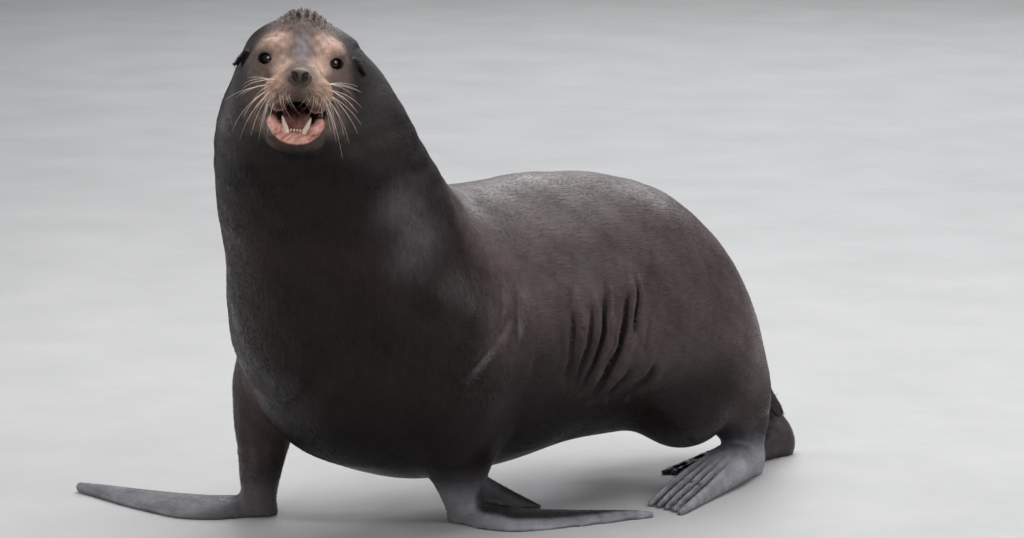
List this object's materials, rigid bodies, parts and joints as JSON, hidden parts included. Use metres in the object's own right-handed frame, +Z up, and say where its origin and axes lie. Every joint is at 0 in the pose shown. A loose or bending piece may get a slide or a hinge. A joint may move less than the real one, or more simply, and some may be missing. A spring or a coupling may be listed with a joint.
{
  "type": "sea lion",
  "caption": "Life-size still model of a male sea lion standing on its fore flippers, head raised and turned to its left, mouth wide open.",
  "frame": {"origin": "on the floor, under the middle of the animal's bounding box", "axes": "+Z up; the trunk faces -Y, the animal's left side is +X"},
  "size_m": [0.9889, 1.5811, 1.1043],
  "materials": {
    "head_skin": "satin",
    "jaw_skin": "satin",
    "tongue": "wet gloss",
    "ear_skin": "satin",
    "eye": "gloss",
    "dark_coat": "wet satin",
    "back_coat": "wet satin",
    "flipper_skin": "wet gloss"
  },
  "bodies": {
    "root": {"head": "head_skin", "lower_jaw": "jaw_skin", "tongue": "tongue", "ear_left": "ear_skin", "ear_right": "ear_skin", "eye_left": "eye", "eye_right": "eye", "neck": "dark_coat", "trunk_fore": "dark_coat", "trunk_rear": "back_coat", "tail": "back_coat", "fore_arm_left": "dark_coat", "fore_arm_right": "dark_coat", "fore_flipper_left": "flipper_skin", "fore_flipper_right": "flipper_skin", "hind_leg_left": "back_coat", "hind_leg_right": "back_coat", "hind_flipper_left": "flipper_skin", "hind_flipper_right": "flipper_skin"}
  },
  "joints": []
}
